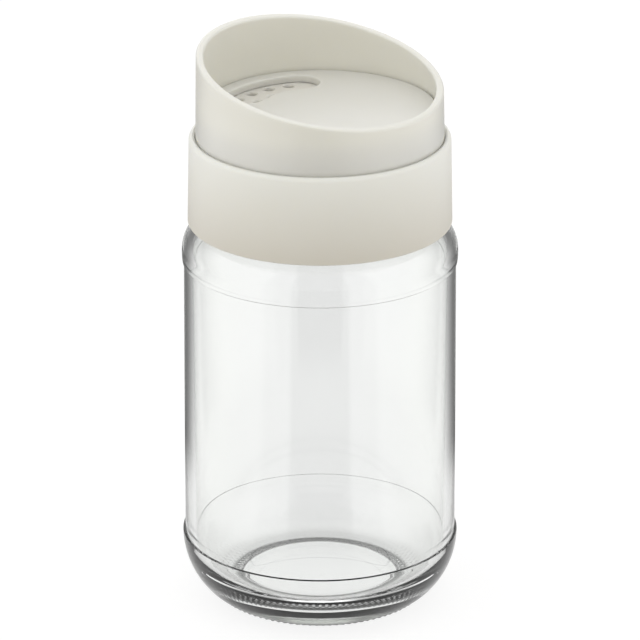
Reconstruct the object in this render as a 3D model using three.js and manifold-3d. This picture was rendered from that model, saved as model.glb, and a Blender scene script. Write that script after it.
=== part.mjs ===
// Spice jar: a round glass jar with a screw-on lid that sprinkles or pours.
// Millimetres, +Z up. The origin is the middle of the foot, on the table.
// The slanted rim of the lid is highest towards +Y.

import * as THREE from 'three';
import { mergeVertices } from 'three/addons/utils/BufferGeometryUtils.js';
import Module from 'manifold-3d';

const wasm = await Module();
wasm.setup();

const rad = THREE.MathUtils.degToRad;

// Fits
const fitGap = 0.3; // between pieces that rest or run on each other
const overrun = 1; // how far a cutter runs past what it cuts
const rootDepth = 0.4; // how far a rib or thread is rooted in its wall

// Smoothness
const turnSteps = 48; // flats round a turned piece
const threadStepsPerTurn = 36;

// Glass jar, from the table up
const jarRadius = 30; // the widest, at the heel and the shoulder
const heelWidth = 10.4; // from the widest radius in to the flat ring that the jar stands on
const footWidth = 2.6; // of that flat ring
const pushUp = 1.4; // the middle of the underside is this high
const heelHeight = 14.5; // the rounded heel reaches the widest radius here
const heelRoundness = 1.79; // exponent of its curve: 2 is an ellipse
const stepHeight = 2.5; // from the heel up to the label panel
const labelRecess = 0.4; // the label panel lies this far inside the widest radius
const labelHeight = 59.2;
const brimHeight = 3.7; // from the label panel up to the widest shoulder
const brimCreaseShare = 0.46; // of that height, where most of the recess is made up
const brimBulgeShare = 0.8; // of the recess, made up at the crease
const shoulderHeight = 6.2; // from the widest shoulder up to the neck
const shoulderRoundness = 2.5;
const shoulderWidth = 5.4; // from the widest radius in to the neck
const glassWall = 2.3;
const neckWall = 2.1;
const floorThickness = 4.6;
const floorInset = 3.1; // the flat floor inside ends this far inside the foot
const rimRound = 0.7; // fire-polished edge of the glass rim
const beadRadius = 1.1; // handling bead round the root of the neck
const beadRise = 2.2; // its middle above the shoulder

// Thread, right-handed and with one start
const threadPitch = 4.2;
const threadDepthShare = 0.286; // of the pitch
const threadGap = 0.6; // from the crest of one thread to the wall that carries the other
const threadTurns = 1.3;
const threadRunOut = 0.12; // of a turn, over which each end fades into the wall
const threadLead = 2.5; // middle of the upper end below the glass rim
const threadDepth = threadPitch * threadDepthShare;

// Lid, from the glass rim up
const sealThickness = 0.8;
const flangeThickness = 1; // of the shaker insert, under the shelf of the collar
const shelfThickness = 1.2;
const brimRise = 1.4; // of the collar above its shelf
const stopHeight = 1.1; // of the turn stop above the shelf
const towerRise = 5.5; // top of the shaker plate above the shelf
const plateThickness = 1.5;
const discThickness = 1.6;
const recessDepth = 8.2; // from the disc up to the middle of the slanted rim
const rimRise = 5.34; // of the rim's high side over its middle
const collarFootGap = 0.6; // from the shoulder of the glass up to the collar

// Lid, walls from the thread outwards and back in to the tower
const collarWall = 2;
const collarDraft = 0.4; // the collar is this much narrower at the top
const brimWall = 1.1;
const brimRound = 2.7; // height of the soft upper edge of the collar
const lipRound = 0.3; // small edges of the mouldings
const capWall = 1.3;
const capDraft = 0.25; // the cap ring is this much narrower at the rim
const rimWidth = 1.7; // of the flat band on the slanted rim
const rimEdge = 0.35; // rounding of that band
const skirtWall = 1.2;
const towerWall = 1.4;

// Snap beads, keys and the turn stop
const retainerHeight = 0.5; // bead in the collar that keeps the insert and the seal
const retainerHalf = 0.4; // half its height along the axis
const snapHeight = 0.5; // bead on the skirt of the disc
const snapHalf = 0.6;
const keyCount = 4; // ribs in the cap ring that turn the disc
const keyWidth = 2;
const keyHeight = 1;
const keyReach = 1.2; // from the wall of the cap ring inwards
const keyAngles = Array.from({ length: keyCount }, (_, i) => ((i + 0.5) / keyCount) * 2 * Math.PI);
const lugWidth = 2; // lugs on the tower that keep the insert from turning
const lugHeight = 0.8;
const lugAngles = [15, 90, 165].map(rad);
const turnLimit = rad(120); // the cap turns this far either way
const lugAngle = rad(90); // of the lug on the cap ring that meets the turn stop
const stopMargin = rad(1); // from the end of the turn to the stop

// Hub of the disc, snapped through the shaker plate
const hubRadius = 3;
const hubWall = 1.4;
const hubCatch = 0.7;
const hubTipLength = 1.5;

// Slot, pour opening and sprinkle holes
const slotAngle = rad(83); // from +X to the middle of the slot
const slotHalfSpan = rad(22.4); // to the centre of each round end
const slotWidth = 10;
const slotEdge = 2.3; // from the slot to the edge of the disc
const slotLip = 0.6; // rounding of its upper edge
const pourEdge = 0.3; // from the pour opening to the tower wall
const pourInset = 0.6; // the pour opening is this much narrower than the slot, each side
const holeRadius = 1.5;
const holePitch = 4.8; // along each row
const rowInset = 1.5; // from the pour opening's outer radius in to the outer row
const rowGap = 4.6; // between the rows
const outerRowCount = 4;
const innerRowCount = 3;

// Radii that follow
const footRadius = jarRadius - heelWidth;
const neckRadius = jarRadius - shoulderWidth;
const labelRadius = jarRadius - labelRecess;
const jarInner = labelRadius - glassWall;
const neckBore = neckRadius - neckWall;
const floorRadius = footRadius - floorInset;
const collarBore = neckRadius + threadDepth + threadGap;
const collarFoot = collarBore + collarWall;
const collarTopRadius = collarFoot - collarDraft;
const pocketRadius = collarTopRadius - brimWall;
const capRadius = pocketRadius - fitGap;
const capBore = capRadius - capWall;
const rimRadius = capRadius - capDraft;
const rimBore = rimRadius - rimWidth;
const discRadius = capBore - fitGap;
const skirtBore = discRadius - skirtWall;
const towerRadius = skirtBore - fitGap;
const towerBore = towerRadius - towerWall;
const shelfBore = towerRadius + fitGap;
const flangeRadius = collarBore - fitGap;
const slotRadius = discRadius - slotEdge - slotWidth / 2;
const pourWidth = slotWidth - 2 * pourInset;
const pourRadius = towerBore - pourEdge - pourWidth / 2;
const hubBore = hubRadius - hubWall;
const plateBore = hubRadius + fitGap;

// Heights of the jar
const labelFoot = heelHeight + stepHeight;
const labelTop = labelFoot + labelHeight;
const shoulderFoot = labelTop + brimHeight;
const neckFoot = shoulderFoot + shoulderHeight;
const threadStart = beadRise + beadRadius + threadPitch / 2 + threadDepth; // above the shoulder
const neckHeight = threadStart + threadTurns * threadPitch + threadLead;
const rimHeight = neckFoot + neckHeight;

// Heights in the lid, measured from the glass rim
const threadFoot = threadStart - neckHeight;
const collarBottom = collarFootGap - neckHeight;
const retainerMiddle = -retainerHalf;
const sealTop = fitGap + sealThickness;
const flangeBottom = sealTop + fitGap;
const flangeTop = flangeBottom + flangeThickness;
const shelfBottom = flangeTop + fitGap;
const shelfTop = shelfBottom + shelfThickness;
const collarTop = shelfTop + brimRise;
const capBottom = shelfTop + fitGap;
const stopTop = shelfTop + stopHeight;
const skirtBottom = stopTop + fitGap;
const keyTop = skirtBottom + keyHeight;
const snapMiddle = keyTop + fitGap + snapHalf;
const plateTop = shelfTop + towerRise;
const plateBottom = plateTop - plateThickness;
const discBottom = plateTop + fitGap;
const discTop = discBottom + discThickness;
const rimMiddle = discTop + recessDepth;
const hubCatchTop = plateBottom - fitGap;
const hubBottom = hubCatchTop - hubTipLength;

// Materials
const glass = () => new THREE.MeshStandardMaterial({
  color: 0xe4ebea, roughness: 0.04, metalness: 0, transparent: true, opacity: 0.4,
});
const lidPlastic = () => new THREE.MeshStandardMaterial({ color: 0xd9d8d0, roughness: 0.45, metalness: 0 });
const softPlastic = () => new THREE.MeshStandardMaterial({ color: 0xf1f0ea, roughness: 0.8, metalness: 0 });

// A closed geometry as a solid, with its faces turned outwards.
function solid(geometry) {
  const bare = new THREE.BufferGeometry();
  bare.setAttribute('position', geometry.attributes.position);
  bare.setIndex(geometry.index);
  const welded = mergeVertices(bare);
  const places = welded.attributes.position;
  const at = (i) => new THREE.Vector3().fromBufferAttribute(places, i);
  const triangles = [];
  let volume = 0;
  for (let i = 0; i < welded.index.count; i += 3) {
    const [a, b, c] = [0, 1, 2].map((k) => welded.index.getX(i + k));
    if (a !== b && b !== c && c !== a) {
      triangles.push([a, b, c]);
      volume += at(a).dot(at(b).cross(at(c)));
    }
  }
  const outward = triangles.map(([a, b, c]) => (volume > 0 ? [a, b, c] : [a, c, b]));
  return new wasm.Manifold(new wasm.Mesh({
    numProp: 3,
    vertProperties: places.array,
    triVerts: new Uint32Array(outward.flat()),
  }));
}

// A solid as a named piece with a material of its own.
function piece(name, body, material) {
  const { vertProperties, triVerts } = body.getMesh();
  const geometry = new THREE.BufferGeometry();
  geometry.setAttribute('position', new THREE.BufferAttribute(vertProperties, 3));
  geometry.setIndex(new THREE.BufferAttribute(triVerts, 1));
  geometry.computeVertexNormals();
  const mesh = new THREE.Mesh(geometry, material);
  mesh.name = name;
  return mesh;
}

// An outline of [radius, height] pairs turned round the Z axis.
function turnedGeometry(outline) {
  const points = outline.map(([radius, height]) => new THREE.Vector2(radius, height));
  return new THREE.LatheGeometry(points, turnSteps).rotateX(Math.PI / 2);
}

// An outline that starts and ends on the axis, as a solid.
function turned(outline) {
  return solid(turnedGeometry(outline));
}

// An outline that closes on itself, as a solid ring.
function turnedRing(outline) {
  return turned([...outline, outline[0]]);
}

// A quarter round about a centre, from straight beside it to straight above or below it.
function corner([radius, height], reachOut, reachUp, steps, roundness = 2) {
  return Array.from({ length: steps + 1 }, (_, i) => {
    const angle = (i / steps) * (Math.PI / 2);
    const out = Math.cos(angle) ** (2 / roundness);
    const up = Math.sin(angle) ** (2 / roundness);
    return [radius + reachOut * out, height + reachUp * up];
  });
}

// A round bead on a wall, from its lower to its upper edge. A negative height faces the axis.
function bead(radius, middle, height, half) {
  const steps = 4;
  return Array.from({ length: steps + 1 }, (_, i) => {
    const angle = (i / steps - 0.5) * Math.PI;
    return [radius + height * Math.cos(angle), middle + half * Math.sin(angle)];
  });
}

// A solid skinned over flat sections with as many points each, all listed anticlockwise.
// The function place puts a point of a section in space.
function lofted(sections, place) {
  const count = sections[0].length;
  const last = (sections.length - 1) * count;
  const indices = [];
  for (let start = 0; start < last; start += count) {
    for (let i = 0; i < count; i += 1) {
      const [a, b] = [start + i, start + ((i + 1) % count)];
      indices.push(a, b, b + count, a, b + count, a + count);
    }
  }
  for (const [a, b, c] of THREE.ShapeUtils.triangulateShape(sections[0], [])) {
    indices.push(c, b, a, last + a, last + b, last + c);
  }
  const points = sections.flatMap((section, i) => section.map((point) => place(point, i)));
  return solid(new THREE.BufferGeometry().setFromPoints(points).setIndex(indices));
}

// A block that stands out from the axis in one direction.
function block(innerRadius, outerRadius, width, bottom, top, angle) {
  const geometry = new THREE.BoxGeometry(outerRadius - innerRadius, width, top - bottom);
  geometry.translate((innerRadius + outerRadius) / 2, 0, (bottom + top) / 2);
  return solid(geometry.rotateZ(angle));
}

// A point in the plane at a distance from the axis, in a direction.
function polar(radius, angle) {
  return new THREE.Vector2(radius * Math.cos(angle), radius * Math.sin(angle));
}

// Points on a circular arc in the plane, the last one left for the next stretch.
function arc(centre, reach, from, to, steps) {
  return Array.from({ length: steps }, (_, i) => polar(reach, from + ((to - from) * i) / steps).add(centre));
}

// A helical ridge on a round wall, side 1 outwards or -1 inwards, that fades out at both ends.
function threadRidge(wallRadius, side, foot) {
  const ringCount = Math.ceil(threadTurns * threadStepsPerTurn);
  const leastSwellShare = 0.07;
  const turnsAt = (ring) => (ring / ringCount) * threadTurns;
  const sections = Array.from({ length: ringCount + 1 }, (_, ring) => {
    const turns = turnsAt(ring);
    const fade = Math.min(1, turns / threadRunOut, (threadTurns - turns) / threadRunOut);
    const swell = threadDepth * Math.max(Math.sin((fade * Math.PI) / 2), leastSwellShare);
    const arch = bead(0, 0, swell, swell).map(([out, up]) => new THREE.Vector2(out, up));
    return [new THREE.Vector2(-rootDepth, -swell), ...arch, new THREE.Vector2(-rootDepth, swell)];
  });
  return lofted(sections, ({ x: out, y: up }, ring) => {
    const { x, y } = polar(wallRadius + side * out, turnsAt(ring) * 2 * Math.PI);
    return new THREE.Vector3(x, y, foot + turnsAt(ring) * threadPitch + up);
  });
}

// A cutter for a slot with round ends that follows a circle about the axis.
// Its levels are [height, extra width each side] pairs from below to above.
function slotCutter(radius, width, middle, levels) {
  const steps = 8;
  const first = middle - slotHalfSpan;
  const last = middle + slotHalfSpan;
  const axis = new THREE.Vector2();
  const sections = levels.map(([, extra]) => {
    const half = width / 2 + extra;
    return [
      ...arc(axis, radius + half, first, last, steps),
      ...arc(polar(radius, last), half, last, last + Math.PI, steps),
      ...arc(axis, radius - half, last, first, steps),
      ...arc(polar(radius, first), half, first + Math.PI, first + 2 * Math.PI, steps),
    ];
  });
  return lofted(sections, ({ x, y }, i) => new THREE.Vector3(x, y, levels[i][0]));
}

// Round bottle glass: foot, rounded heel, label panel, shoulder and threaded neck.
function glassJar() {
  const heelSteps = 7;
  const shoulderSteps = 6;
  const insideSteps = 5;
  const edgeSteps = 2;
  const roundTop = rimHeight - rimRound;
  const heel = corner([footRadius, heelHeight], heelWidth, -heelHeight, heelSteps, heelRoundness);
  const shoulder = corner(
    [neckRadius, shoulderFoot], shoulderWidth, shoulderHeight, shoulderSteps, shoulderRoundness,
  );
  const outside = [
    [0, pushUp],
    [footRadius - footWidth - 2 * pushUp, pushUp],
    [footRadius - footWidth, 0],
    ...heel.reverse(),
    [labelRadius, labelFoot],
    [labelRadius, labelTop],
    [labelRadius + labelRecess * brimBulgeShare, labelTop + brimHeight * brimCreaseShare],
    ...shoulder,
    ...bead(neckRadius, neckFoot + beadRise, beadRadius, beadRadius),
    ...corner([neckRadius - rimRound, roundTop], rimRound, rimRound, edgeSteps),
  ];
  const innerHeel = [jarInner - floorRadius, floorThickness - labelFoot];
  const inside = [
    [0, floorThickness],
    ...corner([floorRadius, labelFoot], ...innerHeel, insideSteps).reverse(),
    ...corner([neckBore, shoulderFoot], jarInner - neckBore, shoulderHeight - glassWall, insideSteps),
    ...corner([neckBore + rimRound, roundTop], -rimRound, rimRound, edgeSteps),
  ];
  const body = turned([...outside, ...inside.reverse()]);
  const thread = threadRidge(neckRadius, 1, rimHeight + threadFoot);
  return piece('glass_jar', body.add(thread), glass());
}

// Flat liner ring, pressed on the glass rim when the lid is tight.
function jarSeal() {
  return piece('jar_seal', turnedRing([
    [neckBore, fitGap],
    [flangeRadius, fitGap],
    [flangeRadius, sealTop],
    [neckBore, sealTop],
  ]), softPlastic());
}

// Lower ring of the lid: inside thread, shelf for the insert, pocket for the cap ring.
function screwCollar() {
  const crestReach = brimWall - lipRound;
  const crestSteps = 4;
  let body = turnedRing([
    [collarFoot - lipRound, collarBottom],
    [collarFoot, collarBottom + lipRound],
    ...corner([collarTopRadius - crestReach, collarTop - brimRound], crestReach, brimRound, crestSteps),
    [pocketRadius, collarTop - lipRound],
    [pocketRadius, shelfTop],
    [shelfBore, shelfTop],
    [shelfBore, shelfBottom],
    [collarBore, shelfBottom],
    ...bead(collarBore, retainerMiddle, -retainerHeight, retainerHalf).reverse(),
    [collarBore, collarBottom + lipRound],
    [collarBore + lipRound, collarBottom],
  ]);
  body = body.add(threadRidge(collarBore, -1, threadFoot - threadPitch / 2));
  for (const angle of lugAngles) {
    const notchWidth = lugWidth + 2 * fitGap;
    const notchRadius = shelfBore + lugHeight;
    body = body.subtract(block(
      shelfBore - overrun, notchRadius, notchWidth, shelfBottom - overrun, shelfTop + overrun, angle,
    ));
  }
  return piece('screw_collar', body.add(turnStop()), lidPlastic());
}

// Raised stretch on the shelf, opposite the lug of the cap ring, that ends its turn both ways.
function turnStop() {
  const steps = 12;
  const axis = new THREE.Vector2();
  const innerRadius = skirtBore + fitGap; // clear of the edge of the shelf
  const lugHalfAngle = Math.asin(keyWidth / 2 / (capBore - keyReach));
  const halfSpan = Math.PI - turnLimit - lugHalfAngle - stopMargin;
  const first = lugAngle + Math.PI - halfSpan;
  const last = lugAngle + Math.PI + halfSpan;
  const section = [
    ...arc(axis, discRadius, first, last, steps),
    polar(discRadius, last),
    ...arc(axis, innerRadius, last, first, steps),
    polar(innerRadius, first),
  ];
  const heights = [shelfTop - rootDepth, stopTop];
  return lofted([section, section], ({ x, y }, i) => new THREE.Vector3(x, y, heights[i]));
}

// Fixed shaker plate on its tower: sprinkle holes under the slot at rest, then the pour
// opening a turn limit on, and plain plate a turn limit back, where the slot is shut.
function shakerInsert() {
  let body = turnedRing([
    [towerBore, flangeBottom],
    [flangeRadius, flangeBottom],
    [flangeRadius, flangeTop],
    [towerRadius, flangeTop],
    [towerRadius, plateTop - lipRound],
    [towerRadius - lipRound, plateTop],
    [plateBore, plateTop],
    [plateBore, plateBottom],
    [towerBore, plateBottom],
  ]);
  for (const angle of lugAngles) {
    body = body.add(block(
      towerRadius - rootDepth, towerRadius + lugHeight, lugWidth, flangeTop - rootDepth, shelfTop, angle,
    ));
  }
  const outerRow = pourRadius + pourWidth / 2 - rowInset;
  for (const hole of [...holeRow(outerRow, outerRowCount), ...holeRow(outerRow - rowGap, innerRowCount)]) {
    body = body.subtract(hole);
  }
  const levels = [[plateBottom - overrun, 0], [plateTop + overrun, 0]];
  body = body.subtract(slotCutter(pourRadius, pourWidth, slotAngle + turnLimit, levels));
  return piece('shaker_insert', body, lidPlastic());
}

// Cutters for a row of sprinkle holes, spread evenly about the middle of the slot.
function holeRow(radius, count) {
  const holeSteps = 12;
  return Array.from({ length: count }, (_, i) => {
    const length = plateThickness + 2 * overrun;
    const { x, y } = polar(radius, slotAngle + ((i - (count - 1) / 2) * holePitch) / radius);
    const geometry = new THREE.CylinderGeometry(holeRadius, holeRadius, length, holeSteps);
    geometry.rotateX(Math.PI / 2);
    return solid(geometry.translate(x, y, (plateTop + plateBottom) / 2));
  });
}

// Upper ring with the slanted rim. Its keys turn the disc and its lug meets the turn stop.
function capRing() {
  const edgeSteps = 2;
  const outline = [
    [capRadius - lipRound, capBottom],
    [capRadius, capBottom + lipRound],
    ...corner([rimRadius - rimEdge, rimMiddle - rimEdge], rimEdge, rimEdge, edgeSteps),
    ...corner([rimBore + rimEdge, rimMiddle - rimEdge], -rimEdge, rimEdge, edgeSteps).reverse(),
    [capBore, discTop],
    ...bead(capBore, snapMiddle, snapHeight, snapHalf + fitGap).reverse(),
    [capBore, capBottom],
  ];
  const geometry = turnedGeometry([...outline, outline[0]]);
  slantAbove(geometry, discTop + fitGap);
  let body = solid(geometry);
  for (const angle of keyAngles) {
    body = body.add(block(capBore - keyReach, capBore + rootDepth, keyWidth, skirtBottom, keyTop, angle));
  }
  const lug = block(capBore - keyReach, capBore + rootDepth, keyWidth, capBottom, stopTop, lugAngle);
  return piece('cap_ring', body.add(lug), lidPlastic());
}

// Lifts the points above a height in step with their y, so that a flat rim slants.
function slantAbove(geometry, height) {
  const places = geometry.attributes.position;
  for (let i = 0; i < places.count; i += 1) {
    if (places.getZ(i) > height) {
      places.setZ(i, places.getZ(i) + (places.getY(i) * rimRise) / rimRadius);
    }
  }
}

// Disc with the one slot, its skirt snapped in the cap ring and its hub through the plate.
function dosingDisc() {
  let body = turned([
    [0, discBottom],
    [hubBore, discBottom],
    [hubBore, hubBottom],
    [hubRadius, hubBottom],
    [hubRadius + hubCatch, hubCatchTop - hubCatch],
    [hubRadius + hubCatch, hubCatchTop],
    [hubRadius, hubCatchTop],
    [hubRadius, discBottom],
    [skirtBore, discBottom],
    [skirtBore, skirtBottom],
    [discRadius, skirtBottom],
    ...bead(discRadius, snapMiddle, snapHeight, snapHalf),
    [discRadius, discTop - lipRound],
    [discRadius - lipRound, discTop],
    [0, discTop],
  ]);
  for (const angle of keyAngles) {
    const notchWidth = keyWidth + 2 * fitGap;
    const notchTop = keyTop + fitGap;
    body = body.subtract(block(
      skirtBore - overrun, discRadius + overrun, notchWidth, skirtBottom - overrun, notchTop, angle,
    ));
  }
  const lipSteps = 2;
  const lip = corner([0, discTop - slotLip], slotLip, slotLip, lipSteps);
  const levels = [
    [discBottom - overrun, 0],
    ...lip.map(([out, height]) => [height, slotLip - out]),
    [discTop + overrun, slotLip],
  ];
  body = body.subtract(slotCutter(slotRadius, slotWidth, slotAngle, levels));
  return piece('dosing_disc', body, lidPlastic());
}

const lid = new THREE.Group();
lid.position.z = rimHeight;
lid.add(jarSeal(), screwCollar(), shakerInsert(), capRing(), dosingDisc());

const spiceJar = new THREE.Group();
spiceJar.add(glassJar(), lid);

export default spiceJar;
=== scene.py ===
# %% [markdown]
# # A spice jar with a sprinkle and pour lid
#
# This lesson dresses a plain CAD model of a spice jar. The CAD parts are right in size and place,
# but they have flat facets and plain colours. Each part gets a smooth copy with a real finish.
# The CAD model is loaded first, because every size below is taken in its frame: metres, +Z up,
# with the middle of the foot at the origin.

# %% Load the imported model
import math

import bmesh
import bpy
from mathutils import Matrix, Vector


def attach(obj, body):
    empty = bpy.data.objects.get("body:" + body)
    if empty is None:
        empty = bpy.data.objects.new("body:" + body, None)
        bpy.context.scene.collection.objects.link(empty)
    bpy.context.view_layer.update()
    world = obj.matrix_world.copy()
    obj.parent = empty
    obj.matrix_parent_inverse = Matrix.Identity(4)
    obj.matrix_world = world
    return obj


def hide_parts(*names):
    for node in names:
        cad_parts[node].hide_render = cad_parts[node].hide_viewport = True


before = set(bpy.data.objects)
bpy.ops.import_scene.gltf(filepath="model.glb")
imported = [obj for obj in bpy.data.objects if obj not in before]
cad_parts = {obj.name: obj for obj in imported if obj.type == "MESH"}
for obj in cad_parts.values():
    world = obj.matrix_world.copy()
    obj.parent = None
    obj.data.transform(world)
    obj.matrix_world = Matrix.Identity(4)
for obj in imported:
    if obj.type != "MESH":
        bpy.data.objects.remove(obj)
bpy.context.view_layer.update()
mm = 0.001

# %% [markdown]
# ## Building node trees
#
# Both geometry and materials are made from nodes here. Placing nodes by hand takes many lines, so
# one helper adds a node and fills its sockets. A socket takes a plain value, or another node's
# output, which becomes a link. A few more helpers name the nodes that come up again and again.


# %% Helpers that add and link nodes
def put(tree, kind, inputs=(), **settings):
    node = tree.nodes.new(kind)
    for key, value in settings.items():
        setattr(node, key, value)
    for key, value in dict(inputs).items():
        if isinstance(value, bpy.types.Node):
            value = value.outputs[0]
        if isinstance(value, bpy.types.NodeSocket):
            tree.links.new(value, node.inputs[key])
        else:
            node.inputs[key].default_value = value
    return node


def calc(tree, operation, *values, **settings):
    return put(tree, "ShaderNodeMath", enumerate(values), operation=operation, **settings)


def smooth_step(tree, value, low, high):
    inputs = {"Value": value, "From Min": low, "From Max": high}
    return put(tree, "ShaderNodeMapRange", inputs, interpolation_type="SMOOTHSTEP")


def mix_colors(tree, share, first, second, **settings):
    inputs = [(0, share), (6, first), (7, second)]
    return put(tree, "ShaderNodeMix", inputs, data_type="RGBA", **settings).outputs[2]


def split(tree, vector):
    return put(tree, "ShaderNodeSeparateXYZ", [(0, vector)]).outputs


def length(tree, vector):
    return put(tree, "ShaderNodeVectorMath", [(0, vector)], operation="LENGTH").outputs["Value"]


def from_axis(tree, x, y):
    return length(tree, put(tree, "ShaderNodeCombineXYZ", {"X": x, "Y": y}))


def new_tree(name, kind, inputs, outputs):
    tree = bpy.data.node_groups.new(name, kind)
    for way, sockets in (("INPUT", inputs), ("OUTPUT", outputs)):
        for label, socket_type in sockets.items():
            tree.interface.new_socket(label, in_out=way, socket_type="NodeSocket" + socket_type)
    return tree, put(tree, "NodeGroupInput").outputs, put(tree, "NodeGroupOutput").inputs


print("helpers ready")

# %% [markdown]
# ## Moulded plastic
#
# The lid is off-white polypropylene with a satin skin. Seen close, such a skin is never one flat
# colour: the mould leaves a fine grain, the colour drifts a little over the piece, and handling
# polishes it in patches. All five mouldings share this, so it is one shader group. It gives out a
# colour, a roughness and a height, and each material feeds them to its own shader.


# %% The shared moulded skin
drift_scale, polish_scale = 45, 160  # features in a metre
rub = 0.16


def moulded_skin():
    sockets = {"Color": "Color", "Drift": "Float", "Roughness": "Float", "Grain Size": "Float"}
    results = {"Color": "Color", "Roughness": "Float", "Height": "Float"}
    tree, given, out = new_tree("moulded skin", "ShaderNodeTree", sockets, results)
    place = put(tree, "ShaderNodeTexCoord").outputs["Object"]
    drift = put(tree, "ShaderNodeTexNoise", {"Vector": place, "Scale": drift_scale, "Detail": 2})
    grain_scale = calc(tree, "DIVIDE", 1, given["Grain Size"])
    grain = put(tree, "ShaderNodeTexNoise", {"Vector": place, "Scale": grain_scale, "Detail": 3})
    polish = put(tree, "ShaderNodeTexNoise", {"Vector": place, "Scale": polish_scale, "Detail": 4})
    centred = calc(tree, "SUBTRACT", drift.outputs["Fac"], 0.5)
    swing = calc(tree, "MULTIPLY", centred, given["Drift"])
    value = calc(tree, "ADD", 1, swing)
    toned = put(tree, "ShaderNodeHueSaturation", {"Color": given["Color"], "Value": value})
    tree.links.new(toned.outputs["Color"], out["Color"])
    rubbed = calc(tree, "MULTIPLY_ADD", polish.outputs["Fac"], rub, -rub / 2)
    tree.links.new(calc(tree, "ADD", given["Roughness"], rubbed).outputs[0], out["Roughness"])
    tree.links.new(grain.outputs["Fac"], out["Height"])
    return tree


skin = moulded_skin()
print("shader group:", skin.name)

# %% [markdown]
# The mouldings differ only in tone, gloss and grain, so one function makes them all. Plastic lets
# a little light in under its skin, which the shader's subsurface weight gives. The cap, the disc
# and the insert are more translucent than the collar, so light goes deeper in them. The collar's
# colour has painted shade in it: it is painted darker and warmer towards its foot, for the light
# that escapes through the clear glass behind it there, so its colour fades with the height.


# %% Materials of the mouldings
depth_share, depth_tint = 0.5, (1.0, 0.97, 0.85)


def new_material(name):
    material = bpy.data.materials.new(name)
    material.use_nodes = True
    tree = material.node_tree
    return material, tree, tree.nodes["Principled BSDF"]


def painted_height_shade(tree, painted_shade_color, color, low, high):
    """Painted shade: one colour up to the height low, the other from the height high."""
    place = put(tree, "ShaderNodeTexCoord").outputs["Object"]
    inputs = {"Value": split(tree, place)["Z"], "From Min": low, "From Max": high}
    share = put(tree, "ShaderNodeMapRange", inputs)
    return mix_colors(tree, share, (*painted_shade_color, 1), (*color, 1))


def moulded(name, color, roughness, grain_size, grain_height,
            drift=0.05, gloss=0.5, depth=1 * mm, fade=None):
    material, tree, shader = new_material(name)
    inputs = {"Color": (*color, 1), "Drift": drift, "Roughness": roughness,
              "Grain Size": grain_size}
    group = put(tree, "ShaderNodeGroup", inputs, node_tree=skin)
    # A fade paints shade into the colour, darker towards its lower height.
    if fade:
        painted_shade_color, low, high = fade
        tree.links.new(painted_height_shade(tree, painted_shade_color, color, low, high), group.inputs["Color"])
    bump = put(tree, "ShaderNodeBump",
               {"Height": group.outputs["Height"], "Distance": grain_height})
    tree.links.new(group.outputs["Color"], shader.inputs["Base Color"])
    tree.links.new(group.outputs["Roughness"], shader.inputs["Roughness"])
    tree.links.new(bump.outputs["Normal"], shader.inputs["Normal"])
    shader.inputs["Specular IOR Level"].default_value = gloss
    shader.inputs["Subsurface Weight"].default_value = depth_share
    shader.inputs["Subsurface Radius"].default_value = depth_tint
    shader.inputs["Subsurface Scale"].default_value = depth
    return material


# The collar's fade is painted shade: darker and warmer towards its foot.
satin = moulded("collar satin plastic", (0.85, 0.85, 0.81), roughness=0.5,
                grain_size=0.22 * mm, grain_height=0.008 * mm,
                fade=((0.65, 0.62, 0.555), 86.7 * mm, 106 * mm))
smooth = moulded("cap smooth plastic", (0.74, 0.73, 0.68), roughness=0.34,
                 grain_size=0.3 * mm, grain_height=0.005 * mm, gloss=1.0, depth=3 * mm)
insert_plastic = moulded("insert clear-cut plastic", (0.74, 0.72, 0.67), roughness=0.34,
                         grain_size=0.3 * mm, grain_height=0.006 * mm, depth=2.5 * mm)
liner = moulded("liner foam", (0.84, 0.83, 0.79), roughness=0.85,
                grain_size=0.35 * mm, grain_height=0.03 * mm, drift=0.1)
print("mouldings:", satin.name, smooth.name, insert_plastic.name, liner.name)

# %% [markdown]
# ## Clear glass
#
# Bottle glass is clear in the middle and darker at its edges, where light crosses more of it. A
# Layer Weight node knows how steeply the surface is seen, so a colour ramp on it darkens only the
# edges. The foot is the thickest glass and is covered with small knobs, so light that enters there
# comes out darker, greener and a little blurred. Geometry's Backfacing keeps this to light that
# enters: the floor stays clear when it is seen from inside. Blown glass is never quite even, so
# two scales of slow noise bend the normal slightly.


# %% Where light enters the foot
foot_full, foot_top = 3.8 * mm, 5.6 * mm
foot_inner, foot_outer = 17.5 * mm, 19 * mm


def foot_mask(tree, place):
    x, y, z = split(tree, place)
    entering = calc(tree, "SUBTRACT", 1, put(tree, "ShaderNodeNewGeometry").outputs["Backfacing"])
    low = calc(tree, "MULTIPLY", smooth_step(tree, z, foot_top, foot_full), entering)
    outer = smooth_step(tree, from_axis(tree, x, y), foot_inner, foot_outer)
    return calc(tree, "MULTIPLY", low, outer)


print("the foot's tint ends", round(foot_top / mm, 1), "mm up")

# %% [markdown]
# The ramp's stops run from the tone of glass seen head-on, at 0, to that of glass seen edge-on, at
# 1. Light crosses four surfaces on its way through the jar, and each takes its share of the tone.


# %% The glass
head_on_tone, edge_on_tone = (0.96, 0.965, 0.963, 1), (0.42, 0.45, 0.42, 1)
slanting_tones = ((0.42, 0.96), (0.56, 0.93), (0.69, 0.79), (0.82, 0.68))
foot_tone, foot_blur = (0.2, 0.22, 0.19, 1), 0.12
wave_height, ripple_share = 0.01 * mm, 0.02


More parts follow.
